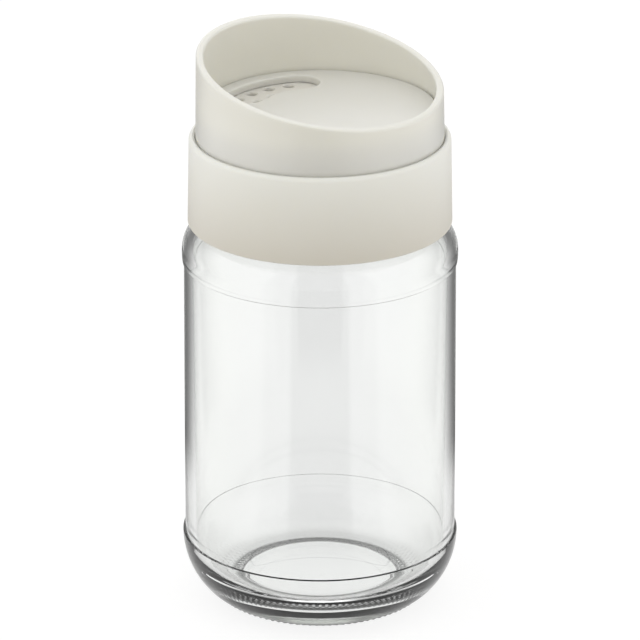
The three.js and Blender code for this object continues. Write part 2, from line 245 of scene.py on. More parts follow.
def clear_glass():
    material, tree, shader = new_material("clear bottle glass")
    facing = put(tree, "ShaderNodeLayerWeight", {"Blend": 0.5}).outputs["Facing"]
    ramp = put(tree, "ShaderNodeValToRGB", {"Fac": facing})
    stops = ramp.color_ramp.elements
    stops[0].position, stops[0].color = 0.0, head_on_tone
    stops[1].position, stops[1].color = 1.0, edge_on_tone
    for position, level in slanting_tones:
        stops.new(position).color = (level * 0.99, level, level * 0.985, 1)
    place = put(tree, "ShaderNodeTexCoord").outputs["Object"]
    waves = put(tree, "ShaderNodeTexNoise", {"Vector": place, "Scale": 55, "Detail": 1})
    ripples = put(tree, "ShaderNodeTexNoise", {"Vector": place, "Scale": 240, "Detail": 1})
    height = calc(tree, "MULTIPLY_ADD", ripples.outputs["Fac"], ripple_share, waves.outputs["Fac"])
    bump = put(tree, "ShaderNodeBump", {"Height": height, "Distance": wave_height})
    foot = foot_mask(tree, place)
    tinted = mix_colors(tree, foot, ramp, foot_tone, blend_type="MULTIPLY")
    frosted = calc(tree, "MULTIPLY", foot, foot_blur)
    tree.links.new(tinted, shader.inputs["Base Color"])
    tree.links.new(bump.outputs["Normal"], shader.inputs["Normal"])
    tree.links.new(frosted.outputs[0], shader.inputs["Roughness"])
    shader.inputs["Transmission Weight"].default_value = 1
    shader.inputs["IOR"].default_value = 1.5
    return material


glass = clear_glass()
print("glass:", glass.name)

# %% [markdown]
# ## Profiles
#
# Every part of the jar is turned: one outline spun round the axis. An outline is a list of
# (radius, height) points in millimetres. Mouldings and glass have no sharp edges, so a helper
# rounds each corner of an outline. It also sets a support point on each side of a rounding, which
# keeps the smooth shading of the flats beside it flat.


# %% Rounded outlines
def rounded(corners, closed=False, steps=5, support=0.12):
    points = []
    count = len(corners)
    for i, (radius, height, rounding) in enumerate(corners):
        here = Vector((radius, height))
        if rounding == 0:
            points.append(here)
            continue
        back = (Vector(corners[i - 1][:2]) - here).normalized()
        ahead = (Vector(corners[(i + 1) % count][:2]) - here).normalized()
        half_turn = (math.pi - back.angle(ahead)) / 2
        reach = rounding * math.tan(half_turn)
        centre = here + (back + ahead).normalized() * rounding / math.cos(half_turn)
        first, last = here + back * reach - centre, here + ahead * reach - centre
        sweep = first.angle(last)
        points.append(centre + first + back * support)
        for step in range(steps + 1):
            share = step / steps
            mix = first * math.sin((1 - share) * sweep) + last * math.sin(share * sweep)
            points.append(centre + mix / math.sin(sweep))
        points.append(centre + last + ahead * support)
    if closed:
        points.append(points[0])
    return [tuple(point) for point in points]


def curve(centre, reach_out, reach_up, steps, roundness=2):
    """A quarter oval from beside the centre to above or below it. Roundness over 2 is boxier."""
    angles = [step / steps * math.pi / 2 for step in range(steps + 1)]
    return [(centre[0] + reach_out * math.cos(angle) ** (2 / roundness),
             centre[1] + reach_up * abs(math.sin(angle)) ** (2 / roundness)) for angle in angles]


def bead(radius, middle, height, half, steps=8):
    """A half-round rib on a wall, from its lower to its upper edge."""
    angles = [(step / steps - 0.5) * math.pi for step in range(steps + 1)]
    return [(radius + height * math.cos(a), middle + half * math.sin(a)) for a in angles]


def run(start, end, steps):
    """Evenly spaced points, the last one left out."""
    shares = [step / steps for step in range(steps)]
    return [tuple(a + (b - a) * share for a, b in zip(start, end)) for share in shares]


square = [(1, 0, 0.1), (2, 0, 0.1), (2, 1, 0.1), (1, 1, 0.1)]
print("a rounded square has", len(rounded(square)), "points")

# %% [markdown]
# ## Turning an outline with Geometry Nodes
#
# A grid of points can be bent into any turned shape: one side of the grid follows the outline and
# the other goes round the axis. The tree reads the outline as the object's own vertices, so the
# same tree makes all six parts. Merging by distance closes the seam, and the poles on the axis.


# %% The turning tree
def turning_tree():
    inputs = {"Outline": "Geometry", "Segments": "Int", "Merge": "Float", "Material": "Material"}
    tree, given, out = new_tree("turned part", "GeometryNodeTree", inputs, {"Part": "Geometry"})
    count = put(tree, "GeometryNodeAttributeDomainSize", {"Geometry": given["Outline"]})
    rows = count.outputs["Point Count"]
    around = calc(tree, "ADD", given["Segments"], 1)
    grid = put(tree, "GeometryNodeMeshGrid",
               {"Size X": 1, "Size Y": 1, "Vertices X": rows, "Vertices Y": around})
    place = split(tree, put(tree, "GeometryNodeInputPosition"))
    last_row = calc(tree, "SUBTRACT", rows, 1)
    row = calc(tree, "MULTIPLY", calc(tree, "ADD", place["X"], 0.5), last_row)
    angle = calc(tree, "MULTIPLY", calc(tree, "ADD", place["Y"], 0.5), math.tau)
    sample = put(tree, "GeometryNodeSampleIndex", data_type="FLOAT_VECTOR", domain="POINT")
    tree.links.new(given["Outline"], sample.inputs["Geometry"])
    tree.links.new(put(tree, "GeometryNodeInputPosition").outputs[0], sample.inputs["Value"])
    tree.links.new(calc(tree, "ROUND", row).outputs[0], sample.inputs["Index"])
    point = split(tree, sample)
    radius, height = point["X"], point["Z"]
    turned = put(tree, "ShaderNodeCombineXYZ",
                 {"X": calc(tree, "MULTIPLY", radius, calc(tree, "COSINE", angle)),
                  "Y": calc(tree, "MULTIPLY", radius, calc(tree, "SINE", angle)), "Z": height})
    moved = put(tree, "GeometryNodeSetPosition", {"Geometry": grid, "Position": turned})
    merged = put(tree, "GeometryNodeMergeByDistance",
                 {"Geometry": moved, "Distance": given["Merge"]})
    finish_tree(tree, merged, given["Material"], out)
    return tree


def finish_tree(tree, geometry, material, out):
    real = put(tree, "GeometryNodeRealizeInstances", {"Geometry": geometry})
    shaded = put(tree, "GeometryNodeSetShadeSmooth", {"Geometry": real})
    coated = put(tree, "GeometryNodeSetMaterial", {"Geometry": shaded, "Material": material})
    tree.links.new(coated.outputs[0], out[0])


turning = turning_tree()
print("tree:", turning.name, len(turning.nodes), "nodes")

# %% [markdown]
# A tree works as a modifier, and a modifier needs an object. The helpers below make an object from
# points, put trees on it, and bake what the trees show into a plain mesh, which is what the export
# and the joints need. The sign of the volume tells whether the faces point outwards.


# %% Objects from outlines and trees
def mesh_object(name, material, points, faces=()):
    mesh = bpy.data.meshes.new(name)
    mesh.from_pydata(points, (), faces)
    mesh.materials.append(material)
    made = bpy.data.objects.new(name, mesh)
    bpy.context.scene.collection.objects.link(made)
    return made


def add_tree(made, tree, **values):
    modifier = made.modifiers.new(tree.name, "NODES")
    modifier.node_group = tree
    sockets = {item.name: item.identifier for item in tree.interface.items_tree}
    for key, value in values.items():
        modifier[sockets[key.replace("_", " ")]] = value


def baked(made):
    """Turns what the modifiers show into the object's own plain mesh."""
    bpy.context.view_layer.update()
    depsgraph = bpy.context.evaluated_depsgraph_get()
    mesh = bpy.data.meshes.new_from_object(made.evaluated_get(depsgraph))
    material = mesh.materials[-1]
    mesh.materials.clear()
    mesh.materials.append(material)
    mesh.polygons.foreach_set("material_index", [0] * len(mesh.polygons))
    made.modifiers.clear()
    old, made.data = made.data, mesh
    bpy.data.meshes.remove(old)
    mesh.name = made.name
    return made


def volume(mesh):
    """In cubic metres. It is negative where the faces point inwards."""
    solid = bmesh.new()
    solid.from_mesh(mesh)
    measured = solid.calc_volume(signed=True)
    solid.free()
    return measured


merge_distance = 0.002 * mm


def turned(name, outline, segments, material, *trees):
    points = [(radius * mm, 0, height * mm) for radius, height in outline]
    made = mesh_object(name, material, points)
    add_tree(made, turning, Segments=segments, Merge=merge_distance, Material=material)
    baked(made)
    if volume(made.data) < 0:
        made.data.flip_normals()
    for tree, values in trees:
        add_tree(made, tree, Material=material, **values)
    baked(made)
    triangles = sum(len(face.vertices) - 2 for face in made.data.polygons)
    print(name, len(made.data.vertices), "vertices,", triangles, "triangles")
    return made


print("parts are merged at", merge_distance, "m")

# %% [markdown]
# ## Relief on a turned wall
#
# The screw thread is a rib that climbs 4.2 mm a turn. Added as a separate solid it would leave
# walls inside the glass, and glass shows those. So the wall itself is pushed out where the rib
# runs: the tree works out how far each point is from the nearest turn of the helix. The collar has
# the same rib pushed inwards.


# %% The thread tree
def soft_hump(tree, distance):
    """1 at no distance, falling in a cosine wave to 0 at a distance of 1 and beyond."""
    near = calc(tree, "MINIMUM", distance, 1)
    wave = calc(tree, "COSINE", calc(tree, "MULTIPLY", near, math.pi))
    return calc(tree, "MULTIPLY_ADD", wave, 0.5, 0.5)


def thread_tree():
    inputs = {"Part": "Geometry", "Wall": "Float", "Depth": "Float", "Foot": "Float",
              "Pitch": "Float", "Turns": "Float", "Run Out": "Float", "Half Width": "Float",
              "Material": "Material"}
    tree, given, out = new_tree("thread relief", "GeometryNodeTree", inputs, {"Part": "Geometry"})
    x, y, z = split(tree, put(tree, "GeometryNodeInputPosition"))
    angle = calc(tree, "ARCTAN2", y, x)
    lap = calc(tree, "FRACT", calc(tree, "DIVIDE", angle, math.tau))
    climbed = calc(tree, "DIVIDE", calc(tree, "SUBTRACT", z, given["Foot"]), given["Pitch"])
    whole = calc(tree, "ROUND", calc(tree, "SUBTRACT", climbed, lap))
    turns = calc(tree, "ADD", lap, whole)
    left = calc(tree, "SUBTRACT", given["Turns"], turns)
    from_end = calc(tree, "MINIMUM", turns, left)
    fade = calc(tree, "DIVIDE", from_end, given["Run Out"], use_clamp=True)
    off = calc(tree, "MULTIPLY", calc(tree, "SUBTRACT", climbed, turns), given["Pitch"])
    share = calc(tree, "DIVIDE", off, given["Half Width"])
    wave = soft_hump(tree, calc(tree, "ABSOLUTE", share))
    rise = calc(tree, "MULTIPLY", wave, calc(tree, "MULTIPLY", fade, given["Depth"]))
    outwards = put(tree, "ShaderNodeCombineXYZ",
                   {"X": calc(tree, "COSINE", angle), "Y": calc(tree, "SINE", angle)})
    offset = put(tree, "ShaderNodeVectorMath", [(0, outwards), ("Scale", rise)], operation="SCALE")
    on_wall = calc(tree, "COMPARE", from_axis(tree, x, y), given["Wall"], 0.02 * mm)
    moved = put(tree, "GeometryNodeSetPosition",
                {"Geometry": given["Part"], "Selection": on_wall, "Offset": offset})
    finish_tree(tree, moved, given["Material"], out)
    return tree


threading = thread_tree()
print("tree:", threading.name, len(threading.nodes), "nodes")

# %% [markdown]
# The foot of a blown jar carries rings of small knobs, so that the hot glass never touches the
# belt with a whole face. They are relief too: each point looks up the nearest knob by its angle
# and its distance from the axis, and moves along its own normal.


# %% The stipple tree
def stipple_tree():
    inputs = {"Part": "Geometry", "Knobs": "Float", "First Row": "Float", "Row Pitch": "Float",
              "Rows": "Float", "Knob Radius": "Float", "Knob Height": "Float", "Top": "Float",
              "Material": "Material"}
    tree, given, out = new_tree("stipple relief", "GeometryNodeTree", inputs, {"Part": "Geometry"})
    x, y, z = split(tree, put(tree, "GeometryNodeInputPosition"))
    radius = from_axis(tree, x, y)
    from_first = calc(tree, "DIVIDE", calc(tree, "SUBTRACT", radius, given["First Row"]),
                      given["Row Pitch"])
    last = calc(tree, "SUBTRACT", given["Rows"], 1)
    row = calc(tree, "MAXIMUM", calc(tree, "MINIMUM", calc(tree, "ROUND", from_first), last), 0)
    across = calc(tree, "MULTIPLY", calc(tree, "SUBTRACT", from_first, row), given["Row Pitch"])
    lap = calc(tree, "DIVIDE", calc(tree, "ARCTAN2", y, x), math.tau)
    stagger = calc(tree, "MULTIPLY", row, 0.5)
    knob = calc(tree, "FRACT", calc(tree, "MULTIPLY_ADD", lap, given["Knobs"], stagger))
    step = calc(tree, "DIVIDE", calc(tree, "MULTIPLY", radius, math.tau), given["Knobs"])
    along = calc(tree, "MULTIPLY", calc(tree, "SUBTRACT", knob, 0.5), step)
    squared = calc(tree, "ADD", calc(tree, "POWER", calc(tree, "ABSOLUTE", across), 2),
                   calc(tree, "POWER", calc(tree, "ABSOLUTE", along), 2))
    reach = calc(tree, "DIVIDE", calc(tree, "SQRT", squared), given["Knob Radius"])
    rise = calc(tree, "MULTIPLY", soft_hump(tree, reach), given["Knob Height"])
    normal = put(tree, "GeometryNodeInputNormal")
    offset = put(tree, "ShaderNodeVectorMath", [(0, normal), ("Scale", rise)], operation="SCALE")
    low = calc(tree, "LESS_THAN", z, given["Top"])
    moved = put(tree, "GeometryNodeSetPosition",
                {"Geometry": given["Part"], "Selection": low, "Offset": offset})
    finish_tree(tree, moved, given["Material"], out)
    return tree


stippling = stipple_tree()
print("tree:", stippling.name, len(stippling.nodes), "nodes")

# %% [markdown]
# ## The glass jar
#
# The outside from the axis out and up: the jar stands on a narrow ring round a shallow push-up. A
# heavy rounded heel carries a label panel that lies back half a millimetre, so that a paper label
# isn't rubbed in a rack. Above it a soft, slightly barrelled shoulder leads to the neck, with a
# bead below the thread. The wall of the neck gets many points, because the thread bends it.

# %% The outside of the jar
push_up, push_up_edge, ring_inner, foot_radius, foot_lift = 0.8, 17.5, 18.15, 18.7, 0.25
heel_radius, heel_top = 30.0, 14.5
panel_foot, panel_low, panel_top, panel_high = 15.1, 29.5, 77.7, 29.34
shoulder_radius, shoulder_foot = 29.75, 79.9
neck, neck_foot, bore, rim = 24.6, 86.1, 22.5, 100.661
barrel_bow = 45

barrel = [(shoulder_radius - (shoulder_foot - height) ** 2 / barrel_bow, height)
          for height in (78.2, 78.5, 78.8, 79.1, 79.5)]
heel = curve((foot_radius, heel_top), heel_radius - foot_radius, foot_lift - heel_top,
             steps=40, roundness=1.9)
outside = rounded([(0, push_up, 0), (push_up_edge, push_up, 0.4), (ring_inner, foot_lift, 0.15),
                   (foot_radius, foot_lift, 0)])[:-1] + heel[::-1]
outside += rounded([(heel_radius, heel_top, 0), (heel_radius - 0.04, panel_foot - 0.15, 0.05),
                    (panel_low, panel_foot, 0.05), (panel_low, panel_foot + 1, 0),
                    (panel_high, panel_top - 0.12, 0.1),
                    (shoulder_radius - 0.13, panel_top + 0.1, 0.3), (*barrel[0], 0)],
                   support=0.02)[1:-1] + barrel
outside += curve((neck, shoulder_foot), shoulder_radius - neck, neck_foot - shoulder_foot,
                 steps=14, roundness=2.1)
outside += bead(neck, neck_foot + 2.2, height=1.1, half=1.1)
outside += run((neck, neck_foot + 3.4), (neck, rim - 0.8), steps=42)
outside += rounded([(neck, rim - 0.8, 0), (neck, rim, 0.7), (bore, rim, 0.7),
                    (bore, rim - 1.5, 0)])
print("outside:", len(outside), "points")

# %% [markdown]
# The inside is smoother than the outside: it has no panel, and its thick floor rises a little in
# the middle. Thread and knobs come last. There are enough segments to keep the knobs round, and
# few enough to keep the jar under 200,000 triangles.

# %% The inside, and the whole jar
inner, wall_foot, floor_edge, floor_low, floor_rise = 27.3, 15, 14.5, 4.8, 0.6
jar_segments = 420

inside = curve((bore, shoulder_foot), inner - bore, neck_foot - shoulder_foot - 1.4,
               steps=16, roundness=2.1)[::-1]
inside += curve((floor_edge, wall_foot), inner - floor_edge, floor_low - wall_foot,
                steps=28, roundness=2.15)
shares = [step / 8 for step in range(1, 9)]
inside += [(floor_edge * (1 - share), floor_low + floor_rise * (1 - (1 - share) ** 2))
           for share in shares]
thread_sizes = {"Wall": neck * mm, "Depth": 1.2 * mm, "Foot": 92.701 * mm, "Pitch": 4.2 * mm,
                "Turns": 1.3, "Run_Out": 0.12, "Half_Width": 1.6 * mm}
stipple_sizes = {"Knobs": 96.0, "First_Row": 18.4 * mm, "Row_Pitch": 1.2 * mm, "Rows": 5.0,
                 "Knob_Radius": 0.56 * mm, "Knob_Height": 0.2 * mm, "Top": 4 * mm}
jar = turned("jar_glass", outside + inside, jar_segments, glass,
             (threading, thread_sizes), (stippling, stipple_sizes))

# %% [markdown]
# ## The liner
#
# A soft ring lies on the glass rim and seals it when the lid is tight. It is a rounded rectangle,
# turned.

# %% The liner
seal_inner, seal_outer, seal_low, seal_high = 22.5, 26.1, 100.961, 101.761
seal_outline = rounded([(seal_inner, seal_low, 0.2), (seal_outer, seal_low, 0.2),
                        (seal_outer, seal_high, 0.2), (seal_inner, seal_high, 0.2)], closed=True)
seal = turned("liner_ring", seal_outline, 192, liner)

# %% [markdown]
# ## Cutting slots and notches
#
# Some shapes aren't turned: the slot in the disc, the pour opening under it, the sprinkle holes
# and the notches of the snap fits. A cutter is a solid the shape of the hole, and a Boolean takes
# it away. Weighted normals then keep the flats flat beside the new edges.


# %% Cutters and blocks
slot_angle, half_span, turn_limit = math.radians(83), math.radians(22.4), math.radians(120)
key_angles = [math.radians(45 + 90 * i) for i in range(4)]
lug_angles = [math.radians(degrees) for degrees in (15, 90, 165)]


def polar(radius, angle):
    return Vector((radius * math.cos(angle), radius * math.sin(angle)))


def lofted(name, sections, heights, material):
    count = len(sections[0])
    points = [(*(point * mm), height * mm)
              for section, height in zip(sections, heights) for point in section]
    faces = [tuple(range(count))[::-1], tuple(range(len(points) - count, len(points)))]
    for start in range(0, len(points) - count, count):
        for i in range(count):
            j = (i + 1) % count
            faces.append((start + i, start + j, start + j + count, start + i + count))
    return mesh_object(name, material, points, faces)


def kidney(radius, half_width, middle, half_span, extra=0.0, steps=20):
    """The outline of a slot with round ends that follows a circle about the axis."""
    first, last, half = middle - half_span, middle + half_span, half_width + extra

    def arc(centre, reach, start, end):
        return [centre + polar(reach, start + (end - start) * i / steps) for i in range(steps)]

    return (arc(Vector((0, 0)), radius + half, first, last)
            + arc(polar(radius, last), half, last, last + math.pi)
            + arc(Vector((0, 0)), radius - half, last, first)
            + arc(polar(radius, first), half, first + math.pi, first + math.tau))


def kidney_cutter(name, levels, material, **shape):
    """Each level is a height, and how much wider the slot is there."""
    sections = [kidney(extra=extra, **shape) for _, extra in levels]
    return lofted(name, sections, [height for height, _ in levels], material)


def block(name, inner_radius, outer_radius, width, bottom, top, angle, material):
    """A block that stands out from the axis in one direction."""
    across = polar(width / 2, angle + math.pi / 2)
    section = [polar(inner_radius, angle) - across, polar(outer_radius, angle) - across,
               polar(outer_radius, angle) + across, polar(inner_radius, angle) + across]
    return lofted(name, [section, section], [bottom, top], material)


def combine(made, tools, operation):
    for tool in tools:
        modifier = made.modifiers.new(tool.name, "BOOLEAN")
        modifier.object, modifier.operation, modifier.solver = tool, operation, "EXACT"
    baked(made)
    for tool in tools:
        bpy.data.objects.remove(tool)


def weigh_normals(made):
    made.data.set_sharp_from_angle(angle=math.radians(38))
    modifier = made.modifiers.new("flats stay flat", "WEIGHTED_NORMAL")
    modifier.keep_sharp = True
    baked(made)


print("slot middle at", round(math.degrees(slot_angle)), "degrees")

# %% [markdown]
# ## The screw collar
#
# The lower ring of the lid. Its outside is a plain tapered wall with a soft upper edge. Inside it
# has the thread, a bead that keeps the liner, and a shelf that holds the shaker plate down. Three
# notches in the shelf keep the plate from turning, and a raised stretch stops the upper ring after
# a third of a turn either way, where the ring's lug meets its ends.

# %% The screw collar
collar_foot, collar_top = 86.7, 105.961
collar_inner, collar_mouth = 26.401, 26.731
shelf_inner, shelf_low, shelf_high = 23.801, 103.361, 104.561
stop_inner, stop_outer, stop_high = 24.101, 25.001, 105.661
lug_width, notch_width = 2, 2.6

wall = [(28.101, collar_foot, 0), (28.401, collar_foot, 0.28), (28.02, collar_top, 1),
        (collar_mouth, collar_top, 0.35), (collar_mouth, shelf_high, 0.3),
        (shelf_inner, shelf_high, 0.2), (shelf_inner, shelf_low, 0.2),
        (collar_inner, shelf_low, 0.3), (collar_inner, 101, 0)]
liner_bead = bead(collar_inner, 100.261, height=-0.5, half=0.4)[::-1]
thread_wall = run((collar_inner, 99.8), (collar_inner, 87.3), steps=64)
collar_outline = rounded(wall) + liner_bead + thread_wall
collar_outline += rounded([(collar_inner, 88, 0), (collar_inner, collar_foot, 0.28),
                           (28.101, collar_foot, 0)])
inner_thread = dict(thread_sizes, Wall=collar_inner * mm, Depth=-thread_sizes["Depth"],
                    Foot=90.601 * mm)
collar = turned("collar_moulding", collar_outline, 288, satin, (threading, inner_thread))
notches = [block("notch", 22.8, 24.601, notch_width, bottom=102.4, top=105.5,
                 angle=angle, material=satin) for angle in lug_angles]
combine(collar, notches, "DIFFERENCE")

stop_middle, stop_steps, stop_slack = math.radians(270), 24, math.radians(1)
stop_half = math.pi - turn_limit - math.asin(lug_width / 2 / stop_inner) - stop_slack
stop_angles = [stop_middle + stop_half * (2 * step / stop_steps - 1)
               for step in range(stop_steps + 1)]
stop_section = [polar(stop_outer, angle) for angle in stop_angles]
stop_section += [polar(stop_inner, angle) for angle in stop_angles[::-1]]
stop = lofted("stop", [stop_section] * 2, [shelf_high - 0.4, stop_high], satin)
combine(collar, [stop], "UNION")
weigh_normals(collar)

# %% [markdown]
# ## The shaker insert
#
# Under the slot of the disc lies a fixed plate on a short tower. A third of it has sprinkle holes
# in two rows, a third has one big pour opening, and a third is plain and shuts the slot. The holes
# repeat, so a Geometry Nodes tree lays points on an arc, puts a cutter on each and subtracts them.


# %% The sprinkle hole tree
def hole_tree():
    inputs = {"Plate": "Geometry", "Row Radius": "Float", "Middle": "Float", "Pitch": "Float",
              "Count": "Int", "Hole Radius": "Float", "Top": "Float", "Flare": "Float",
              "Material": "Material"}
    outputs = {"Plate": "Geometry"}
    tree, given, out = new_tree("sprinkle holes", "GeometryNodeTree", inputs, outputs)
    line = put(tree, "GeometryNodeMeshLine", {"Count": given["Count"], "Offset": (0, 0, 0)})
    last = calc(tree, "SUBTRACT", given["Count"], 1)
    from_middle = calc(tree, "SUBTRACT", put(tree, "GeometryNodeInputIndex"),
                       calc(tree, "DIVIDE", last, 2))
    step = calc(tree, "DIVIDE", given["Pitch"], given["Row Radius"])
    angle = calc(tree, "MULTIPLY_ADD", from_middle, step, given["Middle"])
    spot = put(tree, "ShaderNodeCombineXYZ",
               {"X": calc(tree, "MULTIPLY", calc(tree, "COSINE", angle), given["Row Radius"]),
                "Y": calc(tree, "MULTIPLY", calc(tree, "SINE", angle), given["Row Radius"]),
                "Z": given["Top"]})
    spots = put(tree, "GeometryNodeSetPosition", {"Geometry": line, "Position": spot})
    shaft = put(tree, "GeometryNodeMeshCylinder",
                {"Vertices": 32, "Radius": given["Hole Radius"], "Depth": 4 * mm})
    depth = calc(tree, "SUBTRACT", -2 * mm, given["Flare"])
    sink = put(tree, "ShaderNodeCombineXYZ", {"Z": depth})
    low = put(tree, "GeometryNodeTransform",
              {"Geometry": shaft.outputs["Mesh"], "Translation": sink})
    normal = split(tree, put(tree, "GeometryNodeInputNormal"))
    upper = calc(tree, "GREATER_THAN", normal["Z"], 0.5)
    neck = put(tree, "GeometryNodeExtrudeMesh",
               {"Mesh": low, "Selection": upper, "Offset Scale": given["Flare"]})
    wider = calc(tree, "ADD", calc(tree, "DIVIDE", given["Flare"], given["Hole Radius"]), 1)
    flared = put(tree, "GeometryNodeScaleElements",
                 {"Geometry": neck, "Selection": neck.outputs["Top"], "Scale": wider})
    cutter = put(tree, "GeometryNodeExtrudeMesh",
                 {"Mesh": flared, "Selection": neck.outputs["Top"], "Offset Scale": 1 * mm})
    placed = put(tree, "GeometryNodeInstanceOnPoints", {"Points": spots, "Instance": cutter})
    cutters = put(tree, "GeometryNodeRealizeInstances", {"Geometry": placed})
    cut = put(tree, "GeometryNodeMeshBoolean", operation="DIFFERENCE", solver="EXACT")
    tree.links.new(given["Plate"], cut.inputs["Mesh 1"])
    tree.links.new(cutters.outputs[0], cut.inputs["Mesh 2"])
    finish_tree(tree, cut, given["Material"], out)
    return tree


drilling = hole_tree()
print("tree:", drilling.name, len(drilling.nodes), "nodes")

# %% [markdown]
# The insert itself is turned: a flange that lies under the collar's shelf, the tower, and the
# plate with a hole in its middle for the hub of the disc. Three lugs at the foot of the tower fit
# the notches of the shelf. The pour opening is cut last, with a soft upper lip.

# %% The shaker insert
plate_low, plate_high = 108.561, 110.26
flange_low, flange_high, flange_outer = 102.061, 103.061, 26.101
tower_inner, tower_outer, hub_hole = 22.101, 23.501, 3.3
pour_radius, pour_half, pour_lip, lip_bend = 17.401, 4.4, 0.25, 0.07
hole_radius, flare, mouth_radius, row_gap = 1.2, 0.3, 1.5, 4.6

insert_outline = rounded([
    (tower_inner, flange_low, 0.25), (flange_outer, flange_low, 0.25),
    (flange_outer, flange_high, 0.25), (tower_outer, flange_high, 0.3),
    (tower_outer, plate_high, 0.3), (hub_hole, plate_high, 0.25), (hub_hole, plate_low, 0.25),
    (tower_inner, plate_low, 0.6)], closed=True)
outer_row = pour_radius + pour_half - mouth_radius
rows = [dict(Row_Radius=radius * mm, Count=count, Middle=slot_angle, Pitch=4.8 * mm,
             Hole_Radius=hole_radius * mm, Top=plate_high * mm, Flare=flare * mm)
        for radius, count in ((outer_row, 4), (outer_row - row_gap, 3))]
drilled = [(drilling, row) for row in rows]
insert = turned("shaker_moulding", insert_outline, 240, insert_plastic, *drilled)
lugs = [block("lug", 23.101, 24.301, lug_width, bottom=flange_high - 0.4, top=shelf_high,
              angle=angle, material=insert_plastic) for angle in lug_angles]
combine(insert, lugs, "UNION")

pour_levels = [(plate_low - 1, 0.0), (plate_high - pour_lip, 0.0),
               (plate_high - lip_bend, lip_bend), (plate_high, pour_lip),
               (plate_high + 1, pour_lip)]
pour = kidney_cutter("pour", pour_levels, insert_plastic, radius=pour_radius,
                     half_width=pour_half, middle=slot_angle + turn_limit, half_span=half_span)
combine(insert, [pour], "DIFFERENCE")
weigh_normals(insert)

# %% [markdown]
# ## The cap ring
#
# The upper ring is what a hand turns. Its rim slants: it is 10.7 mm higher at the back, behind the
# slot. A turned ring gets the slant from one more tree that lifts the points above the disc in
# step with how far back they lie.


# %% The slanting tree
def slant_tree():
    inputs = {"Part": "Geometry", "Above": "Float", "Slope": "Float", "Material": "Material"}
    tree, given, out = new_tree("slanted rim", "GeometryNodeTree", inputs, {"Part": "Geometry"})
    place = split(tree, put(tree, "GeometryNodeInputPosition"))
    high = calc(tree, "GREATER_THAN", place["Z"], given["Above"])
    lift = put(tree, "ShaderNodeCombineXYZ",
               {"Z": calc(tree, "MULTIPLY", place["Y"], given["Slope"])})
    moved = put(tree, "GeometryNodeSetPosition",
                {"Geometry": given["Part"], "Selection": high, "Offset": lift})
    finish_tree(tree, moved, given["Material"], out)
    return tree


slanting = slant_tree()
print("tree:", slanting.name, len(slanting.nodes), "nodes")

# %% [markdown]
# The outside of the ring tapers a little, and its wall is thickest at the rim. A groove inside
# takes the snap bead of the disc, four keys make the disc turn with the ring, and one lug meets
# the stop of the collar.

# %% The cap ring
cap_foot, rim_middle, disc_high = 104.861, 120.16, 111.961
cap_inner, rim_radius, rim_lift, snap_middle = 25.301, 26.351, 5.34, 107.861
key_inner, key_outer = 24.101, 25.701

cap_outline = rounded([
    (cap_inner, cap_foot, 0.25), (26.601, cap_foot, 0.3), (rim_radius, rim_middle, 0.38),
    (24.651, rim_middle, 0.38), (cap_inner, disc_high, 0)])
cap_outline += bead(cap_inner, snap_middle, height=0.5, half=0.9)[::-1]
cap_outline += [cap_outline[0]]
slant_sizes = {"Above": (disc_high + 0.3) * mm, "Slope": rim_lift / rim_radius}
cap = turned("cap_moulding", cap_outline, 288, smooth, (slanting, slant_sizes))
keys = [block("key", key_inner, key_outer, lug_width, bottom=105.961, top=106.961,
              angle=angle, material=smooth) for angle in key_angles]
keys.append(block("lug", key_inner, key_outer, lug_width, bottom=cap_foot, top=stop_high,
                  angle=math.radians(90), material=smooth))
combine(cap, keys, "UNION")
weigh_normals(cap)

# %% [markdown]
# ## The dosing disc
#
# The disc turns with the cap ring. Its kidney-shaped slot has a softly rounded upper lip. The
# skirt snaps in the cap ring, and a hub clicks through the shaker plate.

# %% The dosing disc
disc_low, skirt_low, disc_radius, skirt_inner = 110.361, 105.961, 25.001, 23.801
hub_inner, hub_outer, hub_foot, hook_radius, hook_high = 1.601, 3.0, 106.761, 3.7, 108.261
slot_radius, slot_half, slot_span = 17.55, 4.45, math.radians(25)
lip, lip_steps = 0.4, 6

disc_outline = rounded([
    (0, disc_low, 0), (hub_inner, disc_low, 0.2), (hub_inner, hub_foot, 0.2),
    (hub_outer, hub_foot, 0.15), (hook_radius, 107.561, 0.15), (hook_radius, hook_high, 0.1),
    (hub_outer, hook_high, 0.1), (hub_outer, disc_low, 0.25), (skirt_inner, disc_low, 0.4),
    (skirt_inner, skirt_low, 0.2), (disc_radius, skirt_low, 0.2), (disc_radius, 107, 0)])
disc_outline += bead(disc_radius, snap_middle, height=0.5, half=0.6)
disc_outline += rounded([(disc_radius, 109, 0), (disc_radius, disc_high, 0.35),
                         (0, disc_high, 0)])
disc = turned("disc_moulding", disc_outline, 288, smooth)
notches = [block("notch", 22.8, 26, notch_width, bottom=104.9, top=107.261,
                 angle=angle, material=smooth) for angle in key_angles]
combine(disc, notches, "DIFFERENCE")

lip_angles = [step / lip_steps * math.pi / 2 for step in range(lip_steps + 1)]
slot_levels = [(disc_high - lip + lip * math.sin(angle), lip - lip * math.cos(angle))
               for angle in lip_angles]
slot_levels = [(disc_low - 1, 0.0), *slot_levels, (disc_high + 1, lip)]
slot = kidney_cutter("slot", slot_levels, smooth, radius=slot_radius, half_width=slot_half,
                     middle=slot_angle, half_span=slot_span)
combine(disc, [slot], "DIFFERENCE")
weigh_normals(disc)
